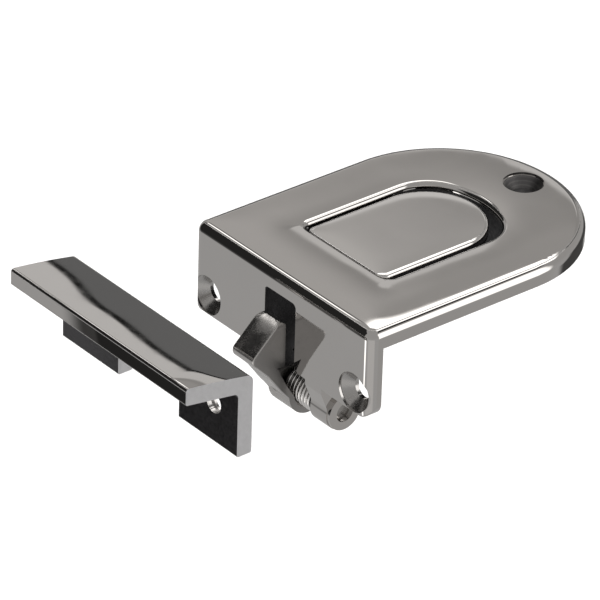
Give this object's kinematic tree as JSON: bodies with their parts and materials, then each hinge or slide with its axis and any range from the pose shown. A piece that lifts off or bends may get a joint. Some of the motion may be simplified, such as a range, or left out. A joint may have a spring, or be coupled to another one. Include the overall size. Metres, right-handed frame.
{
  "type": "pushbutton latch",
  "caption": "Surface-mounted pushbutton latch for a hatch or gate: round-ended plate with a folded-down front flange, sprung hook worked by a recessed button, and an angle-section keeper.",
  "frame": {"origin": "middle of the inner corner that the latch is set on: the plate's underside is Z = 0, the flange's inner face is Y = 0, and X = 0 halves its width", "axes": "+Z out of the plate's face, +Y along the plate towards its round end (the keeper lies towards -Y), +X along the flange, to the right for someone looking along +Y"},
  "size_m": [0.066, 0.1383, 0.0429],
  "materials": {
    "polished_casting": "mirror-polished cast stainless steel, the inner faces left as cast",
    "turned_steel": "turned stainless steel pin",
    "spring_wire": "drawn spring wire, bright"
  },
  "bodies": {
    "latch_body": {"housing": "polished_casting", "button_pin": "turned_steel", "pivot_pin": "turned_steel", "torsion_spring": "spring_wire"},
    "button": {"push_button": "polished_casting"},
    "hook_body": {"hook": "polished_casting"},
    "keeper_body": {"keeper": "polished_casting"}
  },
  "joints": [
    {"name": "button_hinge", "type": "hinge", "parent": "latch_body", "child": "button", "pos_m": [0, 0.0175, -0.001], "axis": [-1, 0, 0], "range_deg": [0, 22]},
    {"name": "hook_pivot", "type": "hinge", "parent": "latch_body", "child": "hook_body", "pos_m": [0, 0.0027, -0.0264], "axis": [-1, 0, 0], "range_deg": [0, 15.62], "stiffness_Nm_per_rad": 0.14, "springref_deg": -60.16, "deforming": ["torsion_spring"]},
    {"name": "keeper_travel", "type": "slide", "parent": "latch_body", "child": "keeper_body", "axis": [0, 0.9922, -0.1249], "range_m": [0, 0.0272]}
  ],
  "couplings": [
    {"joint": "hook_pivot", "follows": "button_hinge", "ratio": 0.71}
  ]
}
